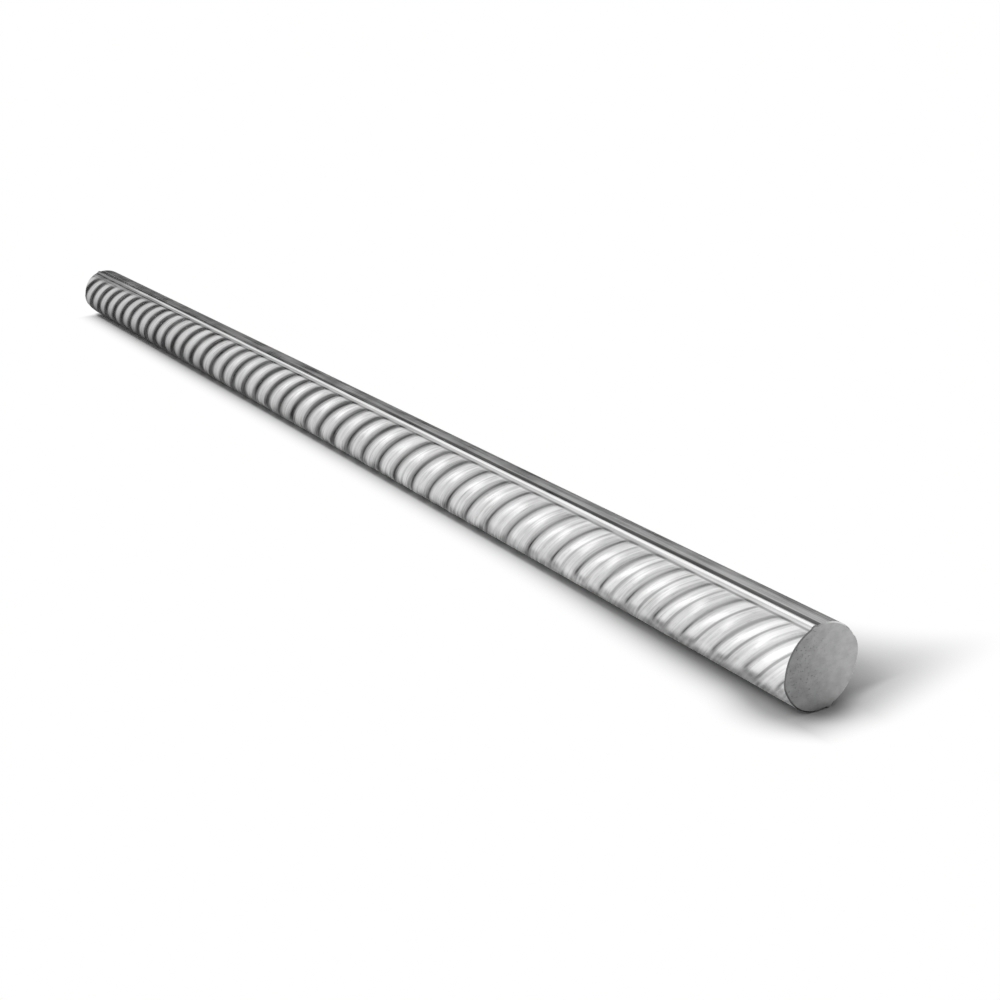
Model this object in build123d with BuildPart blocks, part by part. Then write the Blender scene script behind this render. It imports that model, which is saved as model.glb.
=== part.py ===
from build123d import *
import os
from math import acos, degrees

# One straight length of ribbed reinforcing bar, hot rolled in one piece and sawn square
# at both ends. Millimetres. X runs along the bar, Z is up, and the origin is on the
# floor under the middle of the bar.

# Bar of nominal diameter 20: the round core under the ribs, and the cut length
core_diameter = 19.3
bar_length = 450.0

# Two ribs run the whole length, opposite each other. Each is a rounded bead that the
# gap between the rolls leaves, blended into the core along both sides.
rib_height = 0.4
rib_crown_radius = 1.0
rib_root_radius = 0.8

# The saw leaves a small break on the rim of each end
end_break = 0.3

core_radius = core_diameter / 2
rib_tip_radius = core_radius + rib_height
crown_centre_radius = rib_tip_radius - rib_crown_radius

# Unheld on a level floor the bar lies on its core and on the lower rib, so that rib
# stands off the vertical by the angle at which both touch the floor, and the upper rib
# leans towards -Y by the same angle.
rest_roll = degrees(acos((core_radius - rib_crown_radius) / crown_centre_radius))
upper_rib_angle = 90 + rest_roll
axis_height = core_radius

section_plane = Plane.YZ.offset(-bar_length / 2)

with BuildPart() as ribbed_bar:
    with BuildSketch(section_plane) as section:
        with Locations((0, axis_height)):
            Circle(core_radius)
            with PolarLocations(crown_centre_radius, 2, start_angle=upper_rib_angle):
                Circle(rib_crown_radius)
        fillet(section.vertices(), radius=rib_root_radius)
    extrude(amount=bar_length)
    sawn_ends = ribbed_bar.faces().filter_by(Axis.X)
    chamfer(sawn_ends.edges(), length=end_break)

ribbed_bar.part.label = "ribbed_bar"

os.makedirs("parts", exist_ok=True)
export_step(ribbed_bar.part, "parts/ribbed_bar.step")

print("rest roll, degrees:", round(rest_roll, 2))
print("box:", ribbed_bar.part.bounding_box())
print("volume, mm3:", round(ribbed_bar.part.volume, 1))
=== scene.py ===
import math

import bmesh
import bpy
import numpy as np
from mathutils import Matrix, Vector


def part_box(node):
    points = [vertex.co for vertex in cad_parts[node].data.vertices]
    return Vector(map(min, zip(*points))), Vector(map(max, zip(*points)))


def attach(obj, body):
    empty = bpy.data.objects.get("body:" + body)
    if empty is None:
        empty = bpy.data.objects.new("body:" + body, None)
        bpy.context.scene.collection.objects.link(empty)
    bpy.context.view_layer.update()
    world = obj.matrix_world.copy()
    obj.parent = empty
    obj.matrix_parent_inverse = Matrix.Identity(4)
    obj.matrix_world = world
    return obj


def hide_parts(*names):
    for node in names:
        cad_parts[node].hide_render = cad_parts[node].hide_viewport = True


# One length of ribbed reinforcing bar, lying on a pale floor. Metres; X runs along the
# bar, the sawn end that faces the camera is at +X, and the camera stands on the -Y side.

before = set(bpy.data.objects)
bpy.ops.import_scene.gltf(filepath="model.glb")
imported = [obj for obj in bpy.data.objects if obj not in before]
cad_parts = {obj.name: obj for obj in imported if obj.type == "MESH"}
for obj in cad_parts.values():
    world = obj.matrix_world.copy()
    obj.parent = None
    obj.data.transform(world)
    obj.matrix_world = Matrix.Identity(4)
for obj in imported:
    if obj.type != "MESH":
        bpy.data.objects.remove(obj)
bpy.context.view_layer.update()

MM = 0.001
DEGREE = math.radians(1)
NODE = "ribbed_bar"

# The bar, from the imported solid: its length, its axis and the radius that touches the floor
bar_low, bar_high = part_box(NODE)
HALF_LENGTH = (bar_high.x - bar_low.x) / 2
AXIS_Z = (bar_high.z + bar_low.z) / 2
CORE_R = (bar_high.z - bar_low.z) / 2
NEAR_X, FAR_X = HALF_LENGTH, -HALF_LENGTH

# Lengthwise ribs: rounded beads, at the roll at which the bar rests on one of them
BEAD_HEIGHT = 0.4 * MM
BEAD_CROWN_R = 1.0 * MM
BEAD_ROOT_BLEND = 0.12 * MM
REST_ROLL = math.acos((CORE_R - BEAD_CROWN_R) / (CORE_R + BEAD_HEIGHT - BEAD_CROWN_R))

# Angles run round the bar from the camera's side (0) over the top (a quarter turn). The side
# angle is halfway between the two beads.
BEAD_ANGLES = (math.pi / 2 - REST_ROLL, 3 * math.pi / 2 - REST_ROLL)
SIDE_ANGLE = BEAD_ANGLES[0] - math.pi / 2

# Slanted ribs: one row on each side between the beads, repeated along the bar. They are
# counted from the place this far behind the near end, at this angle round the bar.
RIB_PITCH = 10.0 * MM
RIB_SLANT = 46.3 * DEGREE
RIB_FIRST = 5.03 * MM
RIB_FIRST_ANGLE = 0.5

# A rib is a low crescent: a broad swell with a small step on both of its flanks, highest
# at mid-side and worn down towards the beads. The skin has the shape, and the material's
# bump the crispness of its flanks. Places across a rib are shares of the rib spacing.
SWELL_HEIGHT = 0.16 * MM
STEP_HEIGHT = 0.16 * MM
BUMP_SWELL = 1.00 * MM
PHASE_START = 0.3
NEAR_FLANK = 0.56
SWELL_CREST = 0.77
FAR_FLANK = 1.0
NEAR_FLANK_HALF = 0.05
FAR_FLANK_HALF = 0.035

# The share of the swell and of the step that is left at the beads, and the power of their rise
SWELL_CRESCENT = (0.1, 6)
STEP_CRESCENT = (0.06, 9)

# Angles from a bead over which the ribs rise. The row behind starts further from the upper
# bead, because no rib shows on the strip behind that bead.
BEAD_FADE = (4 * DEGREE, 14 * DEGREE)
REAR_FADE = (48 * DEGREE, 70 * DEGREE)

# Near the end at +X the ribs are worn away below the bar's axis: heights from the axis, the
# stations where the wear ends and where it is full, and the share that it takes
LOW_SIDE = (-5.0 * MM, -1.6 * MM)
LOW_WEAR_STATIONS = (12, 7)
LOW_WEAR = 0.9

# Places along one rib spacing where the skin has a ring of points, closer at the flanks
RING_PHASES = (
    -0.17, -0.045, -0.02, 0.0, 0.02, 0.045, 0.11, 0.20,
    0.30, 0.40, 0.49, 0.53, 0.56, 0.59, 0.63, 0.71,
)

# The sawn ends: the broken rim, the steps inwards between the rings of faces, the distance
# within which points of the cut are one, and the angle at which an edge looks sharp
END_BREAK = 0.3 * MM
FACE_STEPS = (0.4 * MM, 2.4 * MM, 3.2 * MM)
MERGE_DISTANCE = 1e-7
SHARP_ANGLE = 38 * DEGREE


def smooth(edge0, edge1, value):
    """Smooth step from 0 at the first edge to 1 at the second, whichever is higher."""
    t = np.clip((value - edge0) / (edge1 - edge0), 0, 1)
    return t * t * (3 - 2 * t)


def angle_from(theta, centre):
    """Angle from a centre, less than half a turn either way."""
    return (theta - centre + math.pi) % (2 * math.pi) - math.pi


def section_radius(theta):
    """Radius of the core with its beads, and the root fillets as a smooth maximum."""
    radius = np.full_like(theta, CORE_R)
    centre_r = CORE_R + BEAD_HEIGHT - BEAD_CROWN_R
    for bead in BEAD_ANGLES:
        off = angle_from(theta, bead)
        side = centre_r * np.sin(off)
        inside = np.clip(BEAD_CROWN_R ** 2 - side ** 2, 0, None)
        crown = centre_r * np.cos(off) + np.sqrt(inside)
        crown = np.where(np.abs(side) < BEAD_CROWN_R, crown, 0)
        gap = np.clip(0.5 + 0.5 * (crown - radius) / BEAD_ROOT_BLEND, 0, 1)
        radius = radius + (crown - radius) * gap + BEAD_ROOT_BLEND * gap * (1 - gap)
    return radius


def slant_shift(theta):
    """How far a slanted rib has moved towards +X at an angle, zigzag round the bar."""
    front = angle_from(theta, SIDE_ANGLE)
    behind = np.sign(front) * math.pi - front
    folded = np.where(np.abs(front) <= math.pi / 2, front, behind)
    run = CORE_R / math.tan(RIB_SLANT)
    return run * (folded + SIDE_ANGLE - RIB_FIRST_ANGLE)


def crescent(off, least, power):
    """Share of a height that is left at an angle from the nearer bead."""
    return least + (1 - least) * np.sin(off) ** power


def rib_relief(station, theta):
    """Height of the slanted ribs at a station, which counts rib spacings along the bar."""
    phase = (station - PHASE_START) % 1.0 + PHASE_START
    swell = 0.5 + 0.5 * np.cos(2 * math.pi * (phase - SWELL_CREST))
    step = smooth(NEAR_FLANK - NEAR_FLANK_HALF, NEAR_FLANK + NEAR_FLANK_HALF, phase)
    step = step * (1 - smooth(FAR_FLANK - FAR_FLANK_HALF, FAR_FLANK + FAR_FLANK_HALF, phase))
    past_bead = angle_from(theta, BEAD_ANGLES[0])
    from_bead = np.minimum(np.abs(past_bead), math.pi - np.abs(past_bead))
    behind = smooth(*REAR_FADE, np.where(past_bead > 0, past_bead, math.pi))
    low = smooth(LOW_SIDE[1], LOW_SIDE[0], CORE_R * np.sin(theta))
    worn = LOW_WEAR * smooth(*LOW_WEAR_STATIONS, station) * low
    rise = behind * smooth(*BEAD_FADE, from_bead) * (1 - worn)
    swell = SWELL_HEIGHT * swell * crescent(from_bead, *SWELL_CRESCENT)
    step = STEP_HEIGHT * step * crescent(from_bead, *STEP_CRESCENT)
    return rise * (swell + step)


def around_angles():
    """Angles of the skin's points, closer over the beads."""
    bead_half = 9 * DEGREE
    bead_steps, side_steps = 12, 52
    angles = []
    for bead in BEAD_ANGLES:
        next_bead = bead + math.pi
        angles += list(np.linspace(bead - bead_half, bead + bead_half, bead_steps, endpoint=False))
        angles += list(np.linspace(bead + bead_half, next_bead - bead_half, side_steps, endpoint=False))
    return np.array(angles)


def bar_mesh():
    """The bar's skin, longer than the bar at both ends, with stations and angles as its UV map."""
    theta = around_angles()
    shift = slant_shift(theta)
    first = math.floor((shift.min() - RIB_FIRST) / RIB_PITCH) - 1
    last = math.ceil((2 * HALF_LENGTH + shift.max() - RIB_FIRST) / RIB_PITCH) + 1
    stations = np.array([k + phase for k in range(first, last) for phase in RING_PHASES])
    section = section_radius(theta)
    rings = []
    for station in stations:
        x = NEAR_X - RIB_FIRST - station * RIB_PITCH + shift
        radius = section + rib_relief(station, theta)
        rings.append(np.stack([x, -radius * np.cos(theta), AXIS_Z + radius * np.sin(theta)], 1))
    around = len(theta)
    faces = []
    corners = []
    turns = np.append(theta, theta[0] + 2 * math.pi) / (2 * math.pi)
    for i in range(len(stations) - 1):
        for j in range(around):
            k = (j + 1) % around
            this, following = i * around, (i + 1) * around
            faces.append((this + j, this + k, following + k, following + j))
            u0, u1 = stations[i], stations[i + 1]
            v0, v1 = turns[j], turns[j + 1]
            corners += [u0, v0, u0, v1, u1, v1, u1, v0]
    mesh = bpy.data.meshes.new("ribbed_bar_skin")
    mesh.from_pydata(np.concatenate(rings).tolist(), [], faces)
    mesh.uv_layers.new(name="ribs").uv.foreach_set("vector", corners)
    return mesh


def saw_end(bm, side):
    """Cut one end square, break its rim and close it with rings of faces."""
    plane_x = side * (HALF_LENGTH - END_BREAK)
    cut = bmesh.ops.bisect_plane(
        bm,
        geom=bm.verts[:] + bm.edges[:] + bm.faces[:],
        dist=MERGE_DISTANCE,
        plane_co=(plane_x, 0, 0),
        plane_no=(side, 0, 0),
        clear_outer=True,
    )
    ring = [e for e in cut["geom_cut"] if isinstance(e, bmesh.types.BMEdge)]
    face_rings = [(0, inward) for inward in FACE_STEPS]
    for forward, inward in [(END_BREAK, END_BREAK)] + face_rings:
        made = bmesh.ops.extrude_edge_only(bm, edges=ring)["geom"]
        ring = [e for e in made if isinstance(e, bmesh.types.BMEdge)]
        for vert in (v for v in made if isinstance(v, bmesh.types.BMVert)):
            spoke = Vector((0, vert.co.y, vert.co.z - AXIS_Z))
            spoke.length -= inward
            vert.co = Vector((vert.co.x + side * forward, spoke.y, spoke.z + AXIS_Z))
    bmesh.ops.contextual_create(bm, geom=ring)


def build_bar():
    """The bar's skin with both of its ends sawn."""
    mesh = bar_mesh()
    bm = bmesh.new()
    bm.from_mesh(mesh)
    for side in (1, -1):
        saw_end(bm, side)
    bmesh.ops.recalc_face_normals(bm, faces=bm.faces)
    bm.to_mesh(mesh)
    bm.free()
    mesh.shade_smooth()
    mesh.set_sharp_from_angle(angle=SHARP_ANGLE)
    bar = bpy.data.objects.new("ribbed_bar_visual", mesh)
    bpy.context.scene.collection.objects.link(bar)
    return bar


class Nodes:
    """Short calls that add nodes to one tree and link them."""

    def __init__(self, tree):
        self.tree = tree

    def add(self, kind, inputs=None, **settings):
        made = self.tree.nodes.new("ShaderNode" + kind)
        for name, value in settings.items():
            setattr(made, name, value)
        for name, value in (inputs or {}).items():
            self.put(made.inputs[name], value)
        return made

    def put(self, socket, value):
        if isinstance(value, bpy.types.NodeSocket):
            self.tree.links.new(value, socket)
        else:
            socket.default_value = value

    def math(self, operation, *values):
        made = self.tree.nodes.new("ShaderNodeMath")
        made.operation = operation
        for socket, value in zip(made.inputs, values):
            self.put(socket, value)
        return made.outputs[0]

    def product(self, first, *others):
        for other in others:
            first = self.math("MULTIPLY", first, other)
        return first

    def total(self, first, *others):
        for other in others:
            first = self.math("ADD", first, other)
        return first

    def minus(self, first, second):
        return self.math("SUBTRACT", first, second)

    def line(self, value, slope, start):
        """The start plus the value times the slope."""
        return self.math("MULTIPLY_ADD", value, slope, start)

    def larger(self, first, second):
        return self.math("MAXIMUM", first, second)

    def smaller(self, first, second):
        return self.math("MINIMUM", first, second)

    def apart(self, value, centre):
        """How far a value is from a centre."""
        return self.math("ABSOLUTE", self.minus(value, centre))

    def ramp(self, value, over, start=0.0, end=1.0):
        """Smooth step from start to end while the value goes over a stretch, low to high."""
        made = self.add("MapRange", interpolation_type="SMOOTHSTEP")
        names = ("Value", "From Min", "From Max", "To Min", "To Max")
        for name, given in zip(names, (value, *over, start, end)):
            self.put(made.inputs[name], given)
        return made.outputs["Result"]

    def blend(self, factor, first, second):
        """Mix of two numbers."""
        made = self.add("Mix", data_type="FLOAT")
        for socket, value in zip((made.inputs[0], made.inputs[2], made.inputs[3]), (factor, first, second)):
            self.put(socket, value)
        return made.outputs[0]

    def shaded(self, tone, share, amount):
        """A tone made brighter, or darker by a negative amount, over a share of the surface."""
        return self.product(tone, self.line(share, amount, 1.0))

    def vector(self, x, y, z):
        return self.add("CombineXYZ", {"X": x, "Y": y, "Z": z}).outputs[0]

    def grey(self, level):
        return self.vector(level, level, level)

    def noise(self, vector, scale, detail):
        settings = {"Vector": vector, "Scale": scale, "Detail": detail, "Roughness": 0.5}
        return self.add("TexNoise", settings).outputs["Fac"]

    def streaks(self, first, second, waves, layer, detail):
        """Noise over two lengths, with the number of its waves for each mm of both."""
        place = self.vector(self.product(first, waves[0]), self.product(second, waves[1]), layer)
        return self.noise(place, 1.0, detail)


# Tones and roughness of the rolled skin and of the sawn faces, where their noise is low and
# where it is high, and the part of a noise's range in which nearly all of it lies
SKIN_TONE = (0.63, 0.69)
SAWN_TONE = (0.33, 0.39)
SKIN_ROUGH = (0.31, 0.40)
SAWN_ROUGH = (0.31, 0.42)
MIDDLE = (0.3, 0.7)

# The share of the reflection that is left where the skin and its polished crests are seen at
# a grazing angle, and how far the reflection is drawn out by the brushing
GRAZING_TINT = (0.03, 0.50)
BRUSHED = 0.7

# From here on a fade is a stretch of some measure, and the value before and after it.
# Fades along the bar: the wear of the ribs at the far end, the part near the camera, and the
# wear of the ribs below the axis there. The last one is what that wear leaves, over the height.
FAR_WORN = ((FAR_X + 15 * MM, FAR_X + 110 * MM), 1.0, 0.0)
NEAR_PART = ((NEAR_X - 110 * MM, NEAR_X - 30 * MM), 0.0, 1.0)
LOW_WORN = ((NEAR_X - 130 * MM, NEAR_X - 60 * MM), 0.0, 1.0)
LOW_LEFT = ((AXIS_Z + LOW_SIDE[0], AXIS_Z + LOW_SIDE[1]), 0.10, 1.0)

# Where they are worn at the far end, the ribs rise further from the beads
FAR_BEAD_FADE = (14 * DEGREE, 34 * DEGREE)


class SkinPlace:
    """Where a point of the bar is, and what the skin is like there, as values of the nodes."""

    def __init__(self, n):
        coord = n.add("TexCoord").outputs
        place = n.add("SeparateXYZ", {"Vector": coord["Object"]}).outputs
        ribs = n.add("SeparateXYZ", {"Vector": coord["UV"]}).outputs
        self.point = coord["Object"]
        self.x, self.y, self.z = place["X"], place["Y"], place["Z"]
        self.station, self.turn = ribs["X"], ribs["Y"]
        self.phase = n.math("FRACT", self.station)

        # Angles past the upper bead and from the nearer bead
        self.past_bead = n.minus(n.product(self.turn, 2 * math.pi), BEAD_ANGLES[0])
        from_upper = n.math("PINGPONG", self.past_bead, math.pi)
        self.from_bead = n.smaller(from_upper, n.minus(math.pi, from_upper))

        # Shares: of the slanted ribs, of the near part, and of what the wear below leaves
        far_worn = n.ramp(self.x, *FAR_WORN)
        fade = [n.blend(far_worn, *pair) for pair in zip(BEAD_FADE, FAR_BEAD_FADE)]
        self.rear_row = n.ramp(self.past_bead, REAR_FADE)
        row = n.larger(self.rear_row, n.math("LESS_THAN", self.past_bead, 0.0))
        self.ribbed = n.product(n.ramp(self.from_bead, fade), row)
        self.near_part = n.ramp(self.x, *NEAR_PART)
        self.unworn = n.blend(n.ramp(self.x, *LOW_WORN), 1.0, n.ramp(self.z, *LOW_LEFT))


# Marks of the rolls: their waves for each mm along the bar, or across the ribs, and round the
# bar, the layer of the noise that they come from, and its detail
RIB_LINES = ((1.3, 0.08), 0.0, 4.0)
DRAWN_LINES = ((0.04, 1.8), 3.0, 4.0)
SPECKS = ((2.6, 0.45), 9.0, 3.0)
PATCHES = ((0.11, 0.11), 7.0, 3.0)

# The grain is alike in all directions: its waves for each metre, and its detail
GRAIN = (2.6 / MM, 2.0)

# The bar's girth in mm, to which the marks are scaled
MARK_GIRTH = round(2 * math.pi * CORE_R / MM, 1)

# Specks are where their noise is high
SPECK_FADE = ((0.58, 0.72), 0.0, 1.0)

# Where the wear below has taken the ribs, the lines are fainter: their slope and start
FAINT_LINES = (0.4, 0.3)


def roll_marks(n, at):
    """Lines along the slanted ribs and along the bar, and the specks, patches and grain."""
    across_ribs = n.product(at.station, RIB_PITCH / MM)
    around = n.product(at.turn, MARK_GIRTH)
    along = n.product(at.x, 1 / MM)
    drawn_lines = n.streaks(along, around, *DRAWN_LINES)
    rib_lines = n.streaks(across_ribs, around, *RIB_LINES)
    lines = n.blend(at.ribbed, drawn_lines, rib_lines)
    lines = n.blend(at.unworn, n.line(lines, *FAINT_LINES), lines)
    specks = n.ramp(n.streaks(across_ribs, around, *SPECKS), *SPECK_FADE)
    patches = n.streaks(along, around, *PATCHES)
    return lines, n.product(specks, at.ribbed), patches, n.noise(at.point, *GRAIN)


# Dark lines at both flanks of a rib, of scale and painted shade, over shares of the rib spacing. The near
# flank's line is painted shade that is stronger in the near part: its strength elsewhere and there.
FAR_FLANK_LINE = ((0.010, 0.120), 0.54, 0.0)
NEAR_FLANK_LINE = ((0.015, 0.060), 1.0, 0.0)
NEAR_FLANK_SHADE_STRENGTH = (0.15, 0.75)

# The dark line at a bead's root, of scale and painted shade: its angle from the bead, and how it fades
# beside that angle. It is lighter away from the place in the rib spacing where a rib meets it.
ROOT_ANGLE = 7.8 * DEGREE
ROOT_LINE = ((0.6 * DEGREE, 2.6 * DEGREE), 1.0, 0.0)
RIB_END = 0.8
ROOT_BESIDE_RIB = ((0.12, 0.22), 1.0, 0.75)

# A wider line of painted shade behind the upper bead, which grows towards the near end
BEHIND_ANGLE = 8.3 * DEGREE
BEHIND_LINE = ((2.2 * DEGREE, 4.2 * DEGREE), 1.0, 0.0)
BEHIND_SHADE_GROWS = ((NEAR_X - 440 * MM, NEAR_X - 60 * MM), 0.0, 1.25)


def root_scale_and_shade(n, at):
    """Darker roots of the slanted ribs and of the beads: scale, and painted shade in these creases."""
    from_far_flank = n.apart(n.math("FRACT", n.total(at.station, 0.5)), FAR_FLANK - 0.5)
    far_line = n.ramp(from_far_flank, *FAR_FLANK_LINE)
    near_line = n.ramp(n.apart(at.phase, NEAR_FLANK), *NEAR_FLANK_LINE)
    near_line = n.product(near_line, n.blend(at.near_part, *NEAR_FLANK_SHADE_STRENGTH))
    rib_roots = n.product(n.larger(near_line, far_line), at.ribbed, at.unworn)

    bead_line = n.ramp(n.apart(at.from_bead, ROOT_ANGLE), *ROOT_LINE)
    bead_line = n.product(bead_line, n.ramp(n.apart(at.phase, RIB_END), *ROOT_BESIDE_RIB))
    behind_shade = n.ramp(n.apart(at.past_bead, BEHIND_ANGLE), *BEHIND_LINE)
    behind_shade = n.product(behind_shade, n.ramp(at.x, *BEHIND_SHADE_GROWS))
    return n.larger(rib_roots, n.larger(bead_line, behind_shade))


# The polished crest of a bead, with a painted highlight: over the angle, from the far end on, and what it
# adds to the tone. The whole bead is darker otherwise.
CREST_POLISH = ((1.2 * DEGREE, 3.2 * DEGREE), 1.0, 0.0)
POLISH_BEGINS = ((FAR_X + 5 * MM, FAR_X + 80 * MM), 0.0, 1.0)
POLISH_AND_HIGHLIGHT_TONE = 0.40
BEAD_TONE = ((7.0 * DEGREE, 9.0 * DEGREE), -0.08, 0.0)

# The painted highlight on the crest of a slanted rib: its place in the rib spacing, the tone that it adds
# over the distance from there, and the part of the bar where it shows, more towards the near end
RIB_CREST = SWELL_CREST + 0.01
RIB_CREST_HIGHLIGHT = ((0.04, 0.22), 0.10, -0.01)
RIB_HIGHLIGHT_SHOWS = ((0.0, NEAR_X - 40 * MM), 0.0, 1.0)


def crest_wear_and_highlights(n, at):
    """The polish on the beads, and how much brighter the crests of beads and ribs are: rubbed wear and
    painted highlights.
    """
    polish = n.product(n.ramp(at.from_bead, *CREST_POLISH), n.ramp(at.x, *POLISH_BEGINS))
    beads = n.line(polish, POLISH_AND_HIGHLIGHT_TONE, n.ramp(at.from_bead, *BEAD_TONE))
    ribs = n.ramp(n.apart(at.phase, RIB_CREST), *RIB_CREST_HIGHLIGHT)
    ribs = n.product(ribs, at.ribbed, n.ramp(at.x, *RIB_HIGHLIGHT_SHOWS))
    return polish, n.total(beads, ribs)


# What the marks do to the tone, and a painted highlight just behind the saw cut
LINE_TONES = (-0.10, 0.10)
SPECK_TONE = 0.10
CUT_PAINTED_HIGHLIGHT = ((NEAR_X - 16 * MM, NEAR_X - 4 * MM), 0.0, 0.12)

# The lower side has painted light over the near half, less of it in the near part, and painted shade
# towards the far end. In the near part painted light lifts it again along the foot.
PAINTED_LOWER_SIDE = ((AXIS_Z - 6.5 * MM, AXIS_Z + 3.0 * MM), 1.0, 0.0)
LOWER_PAINTED_LIGHT_AND_SHADE = ((NEAR_X - 400 * MM, NEAR_X - 130 * MM), -0.45, 0.36)
LOWER_PAINTED_LIGHT_LESS = (1.0, 0.65)
LOWEST_PAINTED_LIGHT = ((AXIS_Z - 8.5 * MM, AXIS_Z - 5.0 * MM), 0.35, 0.0)

# The smooth strip behind the upper bead gets painted shade, most of all near the end, and scale and painted
# shade take a share of the tone in the roots
STRIP_BEGINS = ((4 * DEGREE, 8 * DEGREE), 0.0, 1.0)
STRIP_PAINTED_SHADE = ((NEAR_X - 350 * MM, NEAR_X - 60 * MM), 0.0, -0.15)
ROOT_SCALE_AND_SHADE = -0.55


def skin_tone(n, at, lines, specks, patches, crest_tone_and_highlights):
    """Tone of the rolled skin, with painted light and shade on its lower side, on the strip behind the bead
    and in the roots.
    """
    tone = n.total(n.ramp(patches, MIDDLE, *SKIN_TONE), crest_tone_and_highlights, n.ramp(lines, MIDDLE, *LINE_TONES))
    # Painted highlight on the ribs just behind the near saw cut
    tone = n.total(tone, n.product(n.ramp(at.x, *CUT_PAINTED_HIGHLIGHT), at.ribbed))
    tone = n.minus(tone, n.product(specks, SPECK_TONE))

    # Painted light on the lower side over the near half, painted shade on it towards the far end
    lower_light_and_shade = n.product(n.ramp(at.x, *LOWER_PAINTED_LIGHT_AND_SHADE), n.blend(at.near_part, *LOWER_PAINTED_LIGHT_LESS))
    tone = n.shaded(tone, n.ramp(at.z, *PAINTED_LOWER_SIDE), lower_light_and_shade)
    # Painted light along the foot in the near part
    tone = n.shaded(tone, n.ramp(at.z, *LOWEST_PAINTED_LIGHT), at.near_part)

    # Painted shade on the strip behind the upper bead
    strip = n.product(n.ramp(at.past_bead, *STRIP_BEGINS), n.minus(1.0, at.rear_row))
    tone = n.shaded(tone, strip, n.ramp(at.x, *STRIP_PAINTED_SHADE))
    # Scale and painted shade darken the roots
    return n.shaded(tone, root_scale_and_shade(n, at), ROOT_SCALE_AND_SHADE)


# Marks of the sawn faces: their waves for each mm across and up, the layer of the noise that
# they come from, and its detail
SAW_LINES = ((0.35, 4.0), 0.0, 4.0)
BLOTCHES = ((0.5, 0.5), 0.0, 5.0)
PITS = ((2.4, 2.4), 12.0, 2.0)

# Pits are where their noise is low, and fainter towards the rear, in mm
PIT_FADE = ((0.30, 0.38), 1.0, 0.0)
PITS_FAINTER = ((-5.0, 3.0), 1.0, 0.3)
PIT_TONE = 0.14

# In mm too: painted light makes the face brighter towards the rear and, by a share of the height, towards
# the top. Painted light lifts it again at the foot.
FACE_LIGHT_HEIGHT = 0.3
FACE_PAINTED_LIGHT = ((-6.0, 12.0), -0.10, 0.08)
FOOT_PAINTED_LIGHT = ((0.5, 6.0), 0.14, 0.0)

# The relief of the face, as the height and depth of its marks in units of the fine relief
SAW_LINE_HEIGHT = 0.7
PIT_DEPTH = 1.5


def sawn_face(n, at):
    """Tone, roughness and relief of the sawn faces: duller, with saw lines and small pits, and painted
    light across the face.
    """
    y_mm = n.product(at.y, 1 / MM)
    z_mm = n.product(at.z, 1 / MM)
    saw_lines = n.streaks(y_mm, z_mm, *SAW_LINES)
    pits = n.ramp(n.streaks(y_mm, z_mm, *PITS), *PIT_FADE)
    pits = n.product(pits, n.ramp(y_mm, *PITS_FAINTER))
    # Painted light across the face and at its foot
    painted_light = n.ramp(n.line(z_mm, FACE_LIGHT_HEIGHT, y_mm), *FACE_PAINTED_LIGHT)
    tone = n.ramp(n.streaks(y_mm, z_mm, *BLOTCHES), MIDDLE, *SAWN_TONE)
    tone = n.total(tone, painted_light, n.ramp(z_mm, *FOOT_PAINTED_LIGHT))
    tone = n.minus(tone, n.product(pits, PIT_TONE))
    rough = n.ramp(saw_lines, MIDDLE, *SAWN_ROUGH)
    relief = n.minus(n.product(saw_lines, SAW_LINE_HEIGHT), n.product(pits, PIT_DEPTH))
    return tone, rough, relief


# The bump of the slanted ribs is flatter towards the near end
FLATTER = ((NEAR_X - 300 * MM, NEAR_X - 80 * MM), 1.0, 0.72)


def rib_bump(n, at, sawn):
    """Bump that makes the flanks of the slanted ribs crisp."""
    angle = n.product(n.minus(at.station, SWELL_CREST), 2 * math.pi)
    swell = n.product(n.math("COSINE", angle), 0.5)
    on_skin = n.product(n.minus(1.0, sawn), at.ribbed, at.unworn, n.ramp(at.x, *FLATTER))
    settings = {"Height": n.product(swell, on_skin), "Strength": 1.0, "Distance": BUMP_SWELL}
    return n.add("Bump", settings).outputs["Normal"]


# The fine relief: its unit, and the height and depth of the skin's marks in that unit. The
# lines change the roughness too.
RELIEF_UNIT = 0.03 * MM
LINE_HEIGHT = 1.2
GRAIN_HEIGHT = 0.12
SPECK_DEPTH = 0.30
LINE_ROUGH = (-0.06, 0.06)

# The share of the rim that looks broken, its tones over Y, darker on the viewer's side, and over Z, with
# painted shade at the bottom by the floor, and the depth from which a face looks sawn
RIM_SHARE = 0.98
RIM_ACROSS = ((-4 * MM, 5 * MM), 0.16, 0.80)
RIM_SHADE_UPWARDS = ((2 * MM, 8 * MM), 0.12, 0.80)
FACE_DEPTH = 0.05 * MM


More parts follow.
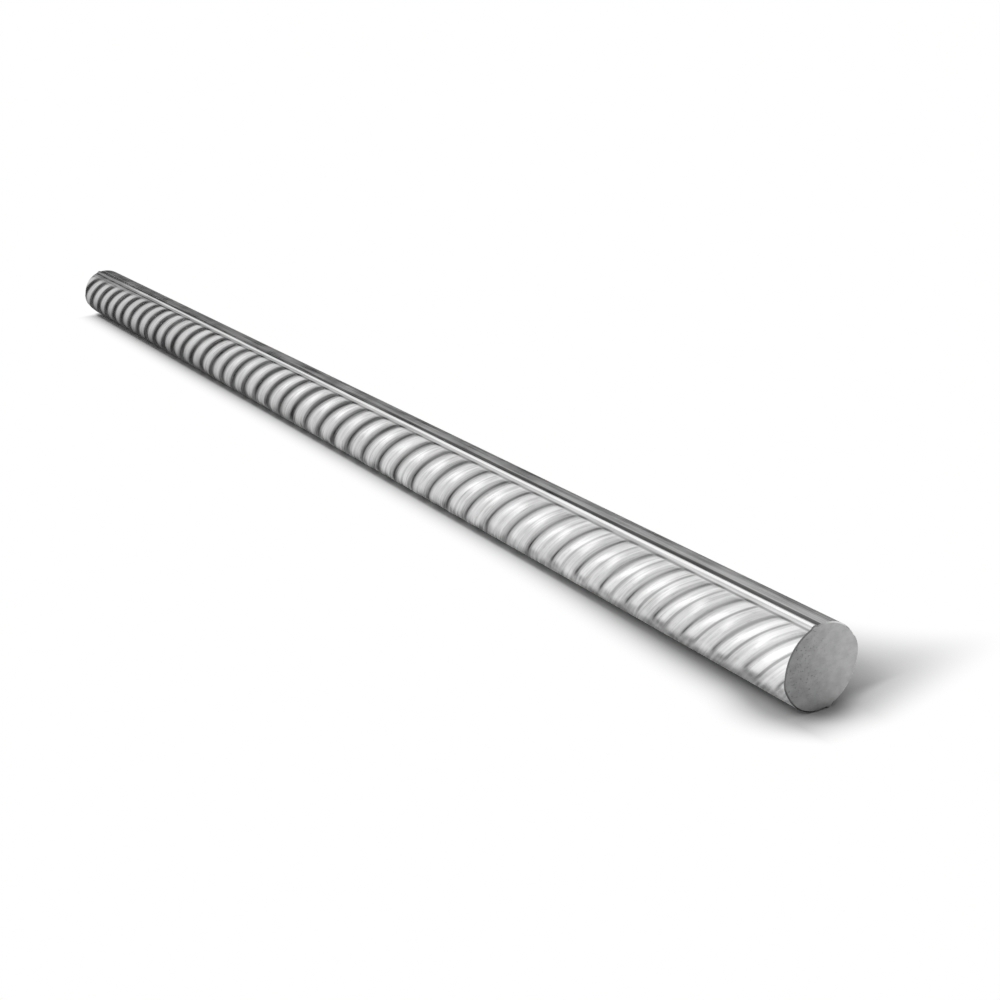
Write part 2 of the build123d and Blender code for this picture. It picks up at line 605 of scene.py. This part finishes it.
def steel():
    """Bright rolled steel, brushed along the bar, with duller sawn ends, and painted light and shade in its
    tone.
    """
    mat = bpy.data.materials.new("rolled_steel")
    mat.use_nodes = True
    n = Nodes(mat.node_tree)
    shader = mat.node_tree.nodes["Principled BSDF"]
    at = SkinPlace(n)

    # The skin
    lines, specks, patches, grain = roll_marks(n, at)
    # Crests: polish, and painted highlights in the tone
    polish, crest_tone_and_highlights = crest_wear_and_highlights(n, at)
    tone = skin_tone(n, at, lines, specks, patches, crest_tone_and_highlights)
    rough = n.total(n.ramp(patches, MIDDLE, *SKIN_ROUGH), n.ramp(lines, MIDDLE, *LINE_ROUGH))
    relief = n.total(n.product(lines, LINE_HEIGHT), n.product(grain, GRAIN_HEIGHT))
    relief = n.minus(relief, n.product(specks, SPECK_DEPTH))

    # The broken rim and the sawn faces
    from_middle = n.math("ABSOLUTE", at.x)
    rim = n.math("GREATER_THAN", from_middle, HALF_LENGTH - END_BREAK * RIM_SHARE)
    # The rim is darker on the viewer's side and has painted shade at the bottom
    rim_tone_and_shade = n.smaller(n.ramp(at.y, *RIM_ACROSS), n.ramp(at.z, *RIM_SHADE_UPWARDS))
    sawn = n.math("GREATER_THAN", from_middle, HALF_LENGTH - FACE_DEPTH)
    sawn_tone, sawn_rough, sawn_relief = sawn_face(n, at)
    tone = n.blend(sawn, n.blend(rim, tone, rim_tone_and_shade), sawn_tone)
    fine = {"Height": n.blend(sawn, relief, sawn_relief), "Normal": rib_bump(n, at, sawn)}
    bump = n.add("Bump", {**fine, "Strength": 1.0, "Distance": RELIEF_UNIT})

    n.put(shader.inputs["Base Color"], n.grey(tone))
    n.put(shader.inputs["Roughness"], n.blend(sawn, rough, sawn_rough))
    n.put(shader.inputs["Normal"], bump.outputs["Normal"])
    n.put(shader.inputs["Tangent"], n.vector(1.0, 0.0, 0.0))
    n.put(shader.inputs["Anisotropic"], n.product(n.minus(1.0, sawn), BRUSHED))
    n.put(shader.inputs["Specular Tint"], n.grey(n.blend(polish, *GRAZING_TINT)))
    shader.inputs["Anisotropic Rotation"].default_value = 0.25
    shader.inputs["Metallic"].default_value = 1
    return mat


def seen_rays(n):
    """Rays of the camera and of reflections and clear materials, which see a white studio."""
    rays = n.add("LightPath").outputs
    seen = n.larger(rays["Is Camera Ray"], rays["Is Glossy Ray"])
    return n.larger(seen, rays["Is Transmission Ray"])


# The floor turns plain white over this stretch of a measure that grows away from the bar.
# Beyond each end: how fast the measure grows, and its value at the end.
PLAIN_FLOOR = (8 * MM, 17 * MM)
NEAR_END_FADE = (0.7, 8 * MM)
FAR_END_FADE = (2.0, 6 * MM)

# On the viewer's side it grows from a line beside the axis. The line's place across the bar
# is the sum of these fades, which run along the bar and count from the near end.
VIEWER_LINE = (
    ((-340 * MM, -230 * MM), -1.0 * MM, 0.0),
    ((-110 * MM, -20 * MM), 1.6 * MM, -2.1 * MM),
    ((-20 * MM, 4 * MM), 0.0, -5.5 * MM),
)

# The growth of the measure's square: on the viewer's side, over Y, then behind the bar from
# one place on, and more from another, but less so towards the near end
VIEWER_GROWTH = ((-6.5 * MM, -3.7 * MM), 17.5 * MM, 0.0)
REAR_START = 8.8 * MM
REAR_GROWTH = 4.75 * MM
REAR_SECOND_START = 14 * MM
REAR_SECOND_GROWTH = ((-60 * MM, 0.0), 12 * MM, 0.0)

# Painted contact shadow in the floor's colour, deepest along a line where the bar touches it. Behind the
# bar it reaches further where these shares of the distance are smaller, counted from the near end.
CONTACT_SHADOW_LINE = 1 * MM
CONTACT_SHADOW_TONE = ((1 * MM, 8.5 * MM), 0.19, 0.5)
CONTACT_SHADOW_AT_END = ((-4 * MM, 4 * MM), 0.28, 1.0)
CONTACT_SHADOW_INWARDS = ((-60 * MM, -8 * MM), 0.6, 0.0)


def shadow_fade(n, y, past_near, past_far):
    """0 where the floor keeps the bar's shadow and 1 where it is plain white."""
    beyond = n.larger(n.line(past_near, *NEAR_END_FADE), n.line(past_far, *FAR_END_FADE))
    beyond = n.larger(beyond, 0.0)
    line = n.total(*(n.ramp(past_near, *fade) for fade in VIEWER_LINE))
    viewer = n.product(n.larger(n.minus(line, y), 0.0), n.ramp(y, *VIEWER_GROWTH))
    rear = n.product(n.larger(n.minus(y, REAR_START), 0.0), REAR_GROWTH)
    second_growth = n.ramp(past_near, *REAR_SECOND_GROWTH)
    rear = n.line(n.larger(n.minus(y, REAR_SECOND_START), 0.0), second_growth, rear)
    measure = n.math("SQRT", n.total(n.product(beyond, beyond), n.larger(viewer, rear)))
    return n.ramp(measure, PLAIN_FLOOR)


def painted_contact_shadow(n, y, past_near, past_far):
    """The floor's colour, with a painted contact shadow where the bar touches it."""
    past_end = n.larger(n.larger(past_near, past_far), 0.0)
    share = n.larger(n.ramp(past_near, *CONTACT_SHADOW_AT_END), n.ramp(past_near, *CONTACT_SHADOW_INWARDS))
    across = n.minus(y, CONTACT_SHADOW_LINE)
    across = n.larger(n.product(across, -1.0), n.product(across, share))
    from_contact = n.math("SQRT", n.total(n.product(past_end, past_end), n.product(across, across)))
    return n.ramp(from_contact, *CONTACT_SHADOW_TONE)


def floor_material():
    """Pale floor with a painted contact shadow in its colour. It keeps the bar's shadow beside the bar and
    is plain white further off.
    """
    mat = bpy.data.materials.new("pale_floor")
    mat.use_nodes = True
    n = Nodes(mat.node_tree)
    shader = mat.node_tree.nodes["Principled BSDF"]
    shader.inputs["Roughness"].default_value = 0.8
    shader.inputs["Specular IOR Level"].default_value = 0.1
    place = n.add("SeparateXYZ", {"Vector": n.add("TexCoord").outputs["Object"]}).outputs
    measures = (place["Y"], n.minus(place["X"], NEAR_X), n.minus(FAR_X, place["X"]))
    # Painted contact shadow in the floor's colour
    n.put(shader.inputs["Base Color"], n.grey(painted_contact_shadow(n, *measures)))
    white = n.add("Emission", {"Color": (1, 1, 1, 1), "Strength": 1.0})
    mix = n.add("MixShader", {"Fac": n.product(shadow_fade(n, *measures), seen_rays(n))})
    n.put(mix.inputs[1], shader.outputs[0])
    n.put(mix.inputs[2], white.outputs[0])
    n.put(mat.node_tree.nodes["Material Output"].inputs["Surface"], mix.outputs[0])
    return mat


# The even level of the studio's light and its soft overhead light, and how narrow that is
EVEN_LEVEL = 0.55
OVERHEAD_LEVEL = 1.6
OVERHEAD_POWER = 5.0


def studio_world():
    """Soft light, brighter from overhead, in a plain white studio."""
    world = bpy.data.worlds.new("studio")
    world.use_nodes = True
    n = Nodes(world.node_tree)
    direction = n.add("SeparateXYZ", {"Vector": n.add("TexCoord").outputs["Generated"]}).outputs
    overhead = n.math("POWER", n.larger(direction["Z"], 0.0), OVERHEAD_POWER)
    level = n.line(overhead, OVERHEAD_LEVEL, EVEN_LEVEL)
    background = world.node_tree.nodes["Background"]
    n.put(background.inputs["Strength"], n.blend(seen_rays(n), level, 1.0))
    background.inputs["Color"].default_value = (1, 1, 1, 1)
    return world


def area(name, location, target, size, energy):
    """A soft panel of light that faces its target."""
    light = bpy.data.lights.new(name, "AREA")
    light.shape = "RECTANGLE"
    light.size, light.size_y = size
    light.energy = energy
    lamp = bpy.data.objects.new(name, light)
    lamp.location = location
    lamp.rotation_euler = (target - location).to_track_quat("-Z", "Y").to_euler()
    bpy.context.scene.collection.objects.link(lamp)
    return lamp


bar = build_bar()
bar.data.materials.append(steel())
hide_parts(NODE)
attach(bar, "root")

# The floor lies at the lowest point of the ribbed skin
FLOOR_SIZE = 80
floor_z = min(v.co.z for v in bar.data.vertices)
bpy.ops.mesh.primitive_plane_add(size=FLOOR_SIZE, location=(0, 0, floor_z))
floor = bpy.context.object
floor.name = "floor"
floor.data.materials.append(floor_material())

# One soft panel lights the viewer's side of the near end
PANEL_OFFSET = Vector((-0.340, -0.486, 0.094))
PANEL_SIZE = (0.36, 0.34)
PANEL_WATTS = 0.34
lit_place = Vector((NEAR_X - 30 * MM, 0, AXIS_Z))
bpy.context.scene.world = studio_world()
area("front_panel", lit_place + PANEL_OFFSET, lit_place, PANEL_SIZE, PANEL_WATTS)

# Camera: stands off the near end, on the -Y side, and looks down along the bar
CAMERA_OFFSET = Vector((191.27, -194.63, 127.36)) * MM
CAMERA_FORWARD = Vector((-0.80152, 0.49978, -0.32831))
cam_data = bpy.data.cameras.new("camera")
cam_data.lens = 53.06
cam_data.sensor_width = 36
cam_data.clip_start = 0.01
camera = bpy.data.objects.new("camera", cam_data)
camera.location = Vector((NEAR_X, 0, AXIS_Z)) + CAMERA_OFFSET
camera.rotation_euler = CAMERA_FORWARD.to_track_quat("-Z", "Y").to_euler()
bpy.context.scene.collection.objects.link(camera)
bpy.context.scene.camera = camera

bpy.context.scene.view_settings.view_transform = "Standard"

triangles = sum(len(p.vertices) - 2 for p in bar.data.polygons)
print("triangles:", triangles, "lowest point, mm:", round(floor_z / MM, 3))
